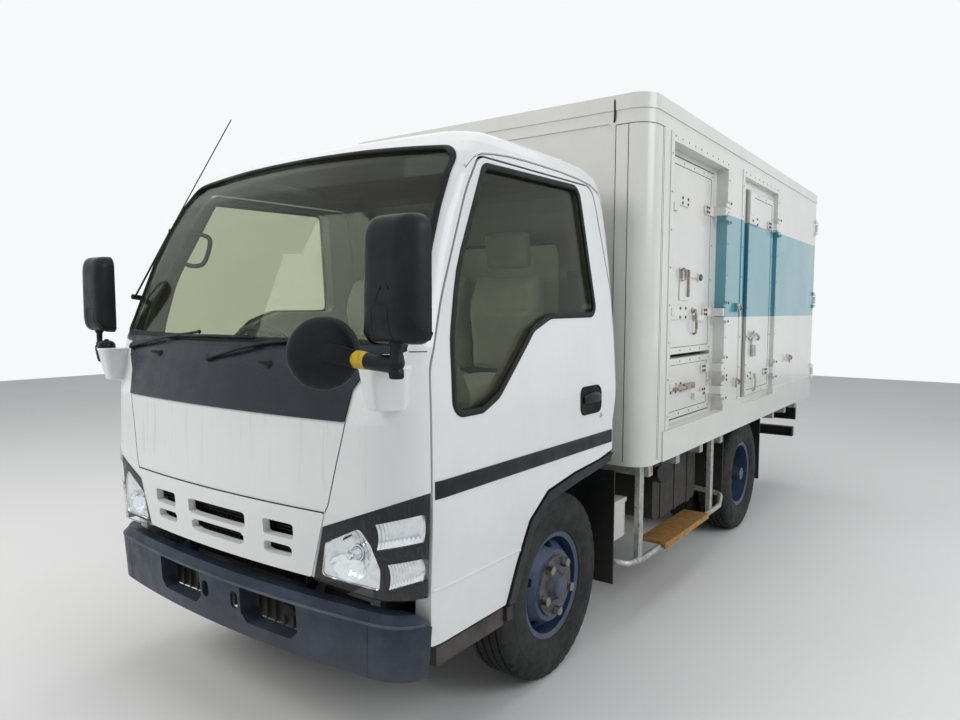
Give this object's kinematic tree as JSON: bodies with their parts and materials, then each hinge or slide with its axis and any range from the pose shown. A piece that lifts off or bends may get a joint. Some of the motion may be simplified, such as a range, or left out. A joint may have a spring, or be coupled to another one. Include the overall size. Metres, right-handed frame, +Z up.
{
  "type": "refrigerated light truck",
  "caption": "Small cab-over truck with an insulated freezer body, side and rear doors, tilting cab, steered front wheels and twin rear wheels.",
  "frame": {"origin": "on the ground under the middle of the vehicle's bounding box", "axes": "+X to the vehicle's left, +Y backwards, +Z up"},
  "size_m": [2.15, 5.4063, 2.453],
  "materials": {
    "white_paint": "gloss, worn",
    "body_panel": "gloss, dirty",
    "dark_panel": "gloss",
    "underbody": "matt",
    "bumper_plastic": "faded",
    "black_plastic": "satin",
    "tyre_rubber": "matt",
    "wheel_paint": "gloss",
    "cast_metal": "rusty",
    "galvanised": "dull",
    "tread_paint": "worn",
    "clear_glass": "clear",
    "lamp_lens": "clear",
    "lamp_reflector": "bright",
    "rear_lens": "gloss",
    "seat_cloth": "woven",
    "dash_plastic": "grained"
  },
  "bodies": {
    "chassis": {"chassis_frame": "underbody", "engine_block": "cast_metal", "front_axle": "cast_metal", "rear_axle": "cast_metal", "prop_shaft": "underbody", "fuel_tank": "underbody", "battery_box": "body_panel", "side_step": "galvanised", "step_tread": "tread_paint", "mudguards": "black_plastic", "rear_bumper": "underbody", "rear_lamps": "rear_lens", "front_bumper": "bumper_plastic", "box_floor": "galvanised", "box_front_wall": "body_panel", "box_side_left": "body_panel", "box_side_right": "body_panel", "box_roof": "body_panel", "box_rear_frame": "body_panel", "exhaust": "cast_metal"},
    "cab": {"cab_front": "white_paint", "cab_upper": "white_paint", "cab_floor": "black_plastic", "front_garnish": "dark_panel", "grille_panel": "white_paint", "headlamps": "lamp_reflector", "headlamp_lenses": "lamp_lens", "cab_glass": "clear_glass", "dashboard": "dash_plastic", "seats": "seat_cloth", "steering_wheel": "dash_plastic", "mirrors": "black_plastic", "wipers": "black_plastic", "antenna": "black_plastic", "arch_flares": "black_plastic"},
    "door_left": {"cab_door_left": "white_paint", "door_glass_left": "clear_glass"},
    "door_right": {"cab_door_right": "white_paint", "door_glass_right": "clear_glass"},
    "knuckle_left": {"knuckle_left": "cast_metal"},
    "knuckle_right": {"knuckle_right": "cast_metal"},
    "tie_rod": {"tie_rod": "cast_metal"},
    "wheel_front_left": {"tyre_front_left": "tyre_rubber", "wheel_front_left": "wheel_paint"},
    "wheel_front_right": {"tyre_front_right": "tyre_rubber", "wheel_front_right": "wheel_paint"},
    "wheel_rear_left": {"tyres_rear_left": "tyre_rubber", "wheels_rear_left": "wheel_paint"},
    "wheel_rear_right": {"tyres_rear_right": "tyre_rubber", "wheels_rear_right": "wheel_paint"},
    "side_door_upper": {"side_door_upper": "body_panel"},
    "side_door_lower": {"side_door_lower": "body_panel"},
    "side_door_middle": {"side_door_middle": "body_panel"},
    "rear_door_left": {"rear_door_left": "body_panel"},
    "rear_door_right": {"rear_door_right": "body_panel"}
  },
  "joints": [
    {"name": "cab_tilt", "type": "hinge", "parent": "chassis", "child": "cab", "pos_m": [0, -2.2868, 0.52], "axis": [1, 0, 0], "range_deg": [0, 45]},
    {"name": "cab_door_left_hinge", "type": "hinge", "parent": "cab", "child": "door_left", "pos_m": [0.8425, -2.2388, 0.9], "axis": [0, 0, -1], "range_deg": [0, 70]},
    {"name": "cab_door_right_hinge", "type": "hinge", "parent": "cab", "child": "door_right", "pos_m": [-0.8425, -2.2388, 0.9], "axis": [0, 0, 1], "range_deg": [0, 70]},
    {"name": "steer_left", "type": "hinge", "parent": "chassis", "child": "knuckle_left", "pos_m": [0.6, -1.4068, 0.3756], "axis": [0, 0, 1], "range_deg": [-35, 35]},
    {"name": "steer_right", "type": "hinge", "parent": "chassis", "child": "knuckle_right", "pos_m": [-0.6, -1.4068, 0.3756], "axis": [0, 0, 1], "range_deg": [-35, 35]},
    {"name": "tie_rod_pivot", "type": "hinge", "parent": "knuckle_left", "child": "tie_rod", "pos_m": [0.6, -1.2668, 0.2806], "axis": [0, 0, 1], "range_deg": [-35, 35]},
    {"name": "spin_front_left", "type": "hinge", "parent": "knuckle_left", "child": "wheel_front_left", "pos_m": [0.6975, -1.4068, 0.3756], "axis": [1, 0, 0], "continuous": true},
    {"name": "spin_rear_left", "type": "hinge", "parent": "chassis", "child": "wheel_rear_left", "pos_m": [0.61425, 1.0862, 0.3756], "axis": [1, 0, 0], "continuous": true},
    {"name": "spin_front_right", "type": "hinge", "parent": "knuckle_right", "child": "wheel_front_right", "pos_m": [-0.6975, -1.4068, 0.3756], "axis": [1, 0, 0], "continuous": true},
    {"name": "spin_rear_right", "type": "hinge", "parent": "chassis", "child": "wheel_rear_right", "pos_m": [-0.61425, 1.0862, 0.3756], "axis": [1, 0, 0], "continuous": true},
    {"name": "side_door_upper_hinge", "type": "hinge", "parent": "chassis", "child": "side_door_upper", "pos_m": [0.938, 0.2082, 1.4], "axis": [0, 0, 1], "range_deg": [0, 180]},
    {"name": "side_door_lower_hinge", "type": "hinge", "parent": "chassis", "child": "side_door_lower", "pos_m": [0.938, 0.2082, 1.4], "axis": [0, 0, 1], "range_deg": [0, 180]},
    {"name": "side_door_middle_hinge", "type": "hinge", "parent": "chassis", "child": "side_door_middle", "pos_m": [0.944, 1.3412, 1.4], "axis": [0, 0, 1], "range_deg": [0, 180]},
    {"name": "rear_door_left_hinge", "type": "hinge", "parent": "chassis", "child": "rear_door_left", "pos_m": [0.935, 2.6932, 1.4], "axis": [0, 0, -1], "range_deg": [0, 240]},
    {"name": "rear_door_right_hinge", "type": "hinge", "parent": "chassis", "child": "rear_door_right", "pos_m": [-0.935, 2.6932, 1.4], "axis": [0, 0, 1], "range_deg": [0, 240]}
  ],
  "couplings": [
    {"joint": "steer_right", "follows": "steer_left", "ratio": 1},
    {"joint": "tie_rod_pivot", "follows": "steer_left", "ratio": -1}
  ]
}
